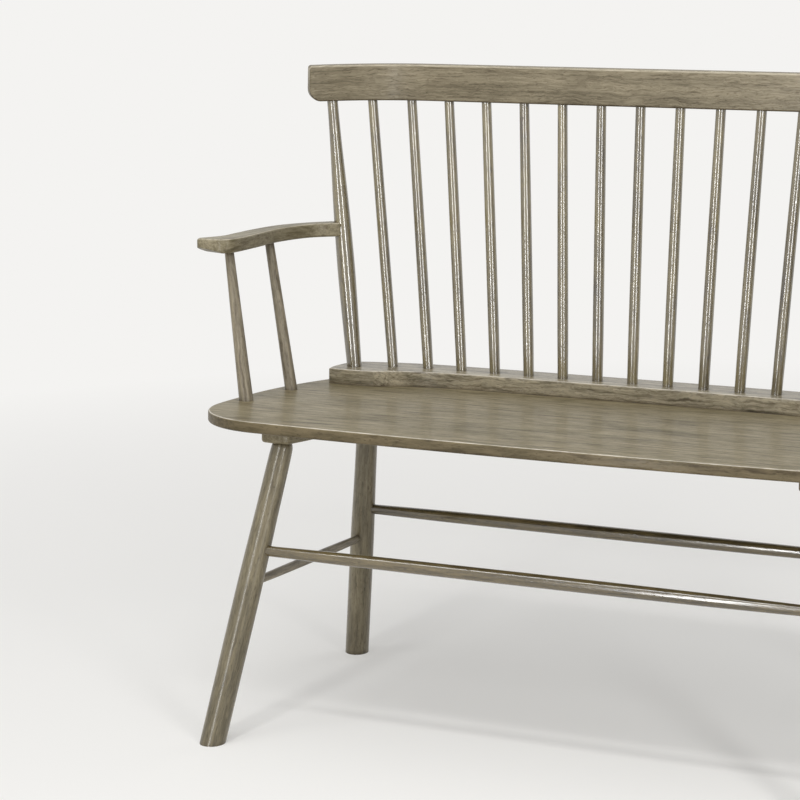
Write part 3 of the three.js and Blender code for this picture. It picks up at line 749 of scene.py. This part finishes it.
def board_from_slice(node, roundings, along, material):
    """A CAD board made again from its outline at half its thickness."""
    matrix, thickness = board_frame(node)
    loop = refined(slice_outline(node, matrix, thickness / 2))
    return make_board(node, loop, matrix, thickness, roundings, along, material)


board_from_slice("seat", (EDGE_ROUNDING, EDGE_ROUNDING), (1, 0), seat_wood)
board_from_slice("seat_rail", (0.0, EDGE_ROUNDING), (1, 0), rail_wood)
make_crest(crest_wood)
for side, label in SIDE_NAMES.items():
    board_from_slice(f"batten_{label}", (BATTEN_ROUNDING, 0.0), (0, 1), batten_wood)
    make_arm(side, arm_wood)
    turn_again(f"post_{label}", (0, 0, 1), spindle_wood)
    turn_again(f"stretcher_{label}", (0, 1, 0), support_wood)
    for end in ("front", "back"):
        turn_again(f"leg_{end}_{label}", (0, 0, -1), leg_wood, to_floor=True)
    for end in ("front", "rear"):
        turn_again(f"arm_support_{end}_{label}", (0, 0, 1), support_wood)
for end in ("front", "back"):
    turn_again(f"stretcher_{end}", (1, 0, 0), stretcher_wood)
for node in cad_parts:
    if node.startswith("spindle_"):
        turn_again(node, (0, 0, 1), spindle_wood)
    if "screw" in node:
        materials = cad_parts[node].data.materials
        materials.clear()
        materials.append(screw_steel)


# Floor, light and camera


BACKGROUND = "#f4f3f1"
FLOOR_COLOUR = "#f2f1ee"
FLOOR_REACH = 14.0  # to each side
FLOOR_FADE = (0.5, 2.6)  # from the bench's middle, where the floor starts to fade and where only background is left
FLOOR_GLOW = 0.35  # the background's share in the floor near the bench
ROOM_LIGHT = (0.93, 0.93, 0.92, 1.0)  # a trace warmer than white


def make_floor():
    """A pale floor that keeps the bench's shadow and fades into the background farther out."""
    s = Shader("floor_pale")
    place = s.node("ShaderNodeNewGeometry").outputs["Position"]
    distance = s.node("ShaderNodeVectorMath", {0: place}, operation="LENGTH").outputs["Value"]
    surface = s.node("ShaderNodeBsdfPrincipled", {
        "Base Color": linear(FLOOR_COLOUR), "Roughness": 0.7, "Specular IOR Level": 0.1,
    })
    glow = s.node("ShaderNodeEmission", {"Color": linear(BACKGROUND), "Strength": 1.0})
    faded = s.math("MULTIPLY", s.seen_or_mirrored(), s.spread(distance, *FLOOR_FADE, FLOOR_GLOW, 1.0))
    mixed = s.node("ShaderNodeMixShader", {0: faded, 1: surface.outputs[0], 2: glow.outputs[0]})
    s.node("ShaderNodeOutputMaterial", {"Surface": mixed.outputs[0]})
    mesh = bpy.data.meshes.new("floor")
    corners = [(x * FLOOR_REACH, y * FLOOR_REACH, 0) for x, y in ((-1, -1), (1, -1), (1, 1), (-1, 1))]
    mesh.from_pydata(corners, [], [(0, 1, 2, 3)])
    mesh.materials.append(s.owner)
    floor = bpy.data.objects.new("floor", mesh)
    bpy.context.scene.collection.objects.link(floor)


def make_lamp(name, place, aim, size, power):
    """A softbox of a width and a height, aimed at a point."""
    data = bpy.data.lights.new(name, "AREA")
    data.shape = "RECTANGLE"
    data.size, data.size_y = size
    data.energy = power
    lamp = bpy.data.objects.new(name, data)
    lamp.location = place
    lamp.rotation_euler = (Vector(aim) - Vector(place)).to_track_quat("-Z", "Y").to_euler()
    lamp.visible_camera = False
    bpy.context.scene.collection.objects.link(lamp)


def make_world(strength):
    """A pale room for diffuse light, and a plain background where it is seen or mirrored."""
    s = Shader("room", bpy.data.worlds)
    room = s.node("ShaderNodeBackground", {"Color": ROOM_LIGHT, "Strength": strength})
    backdrop = s.node("ShaderNodeBackground", {"Color": linear(BACKGROUND), "Strength": 1.0})
    mixed = s.node("ShaderNodeMixShader", {0: s.seen_or_mirrored(), 1: room.outputs[0], 2: backdrop.outputs[0]})
    s.node("ShaderNodeOutputWorld", {"Surface": mixed.outputs[0]})
    bpy.context.scene.world = s.owner


def make_camera(place, yaw, pitch, roll, lens):
    """A camera that looks along +Y, turned left by yaw, down by pitch and about its own axis by roll, in radians,
    with a lens in millimetres."""
    ahead = Vector((-math.sin(yaw) * math.cos(pitch), math.cos(yaw) * math.cos(pitch), -math.sin(pitch)))
    right = Vector((math.cos(yaw), math.sin(yaw), 0))
    up = right.cross(ahead)
    rolled = right * math.cos(roll) + up * math.sin(roll)
    raised = up * math.cos(roll) - right * math.sin(roll)
    data = bpy.data.cameras.new("camera")
    data.sensor_width = 36.0
    data.lens = lens
    camera = bpy.data.objects.new("camera", data)
    camera.matrix_world = Matrix((
        (rolled.x, raised.x, -ahead.x, place[0]),
        (rolled.y, raised.y, -ahead.y, place[1]),
        (rolled.z, raised.z, -ahead.z, place[2]),
        (0, 0, 0, 1),
    ))
    bpy.context.scene.collection.objects.link(camera)
    bpy.context.scene.camera = camera


make_floor()
make_world(strength=0.3)
make_lamp("ceiling", place=(-0.3, -0.3, 3.0), aim=(-0.1, 0, 0.4), size=(2.6, 1.4), power=16)
make_lamp("top_strip", place=(-0.3, -1.15, 2.7), aim=(-0.3, -0.2, 0.4), size=(2.8, 0.24), power=27)
make_lamp("left_strip", place=(-0.55, -2.6, 1.15), aim=(-0.3, 0, 0.9), size=(0.2, 2.2), power=28)
make_lamp("right_strip", place=(1.8, -1.6, 1.3), aim=(-0.3, 0, 1.0), size=(0.3, 1.85), power=24)
make_lamp("window", place=(1.6, 3.0, 2.0), aim=(0, 0, 0.5), size=(2.4, 1.6), power=18)
make_camera(place=(1.35733, -3.39239, 1.29321), yaw=0.44779, pitch=0.218, roll=-0.02103, lens=120.125)
bpy.context.scene.view_settings.view_transform = "Standard"
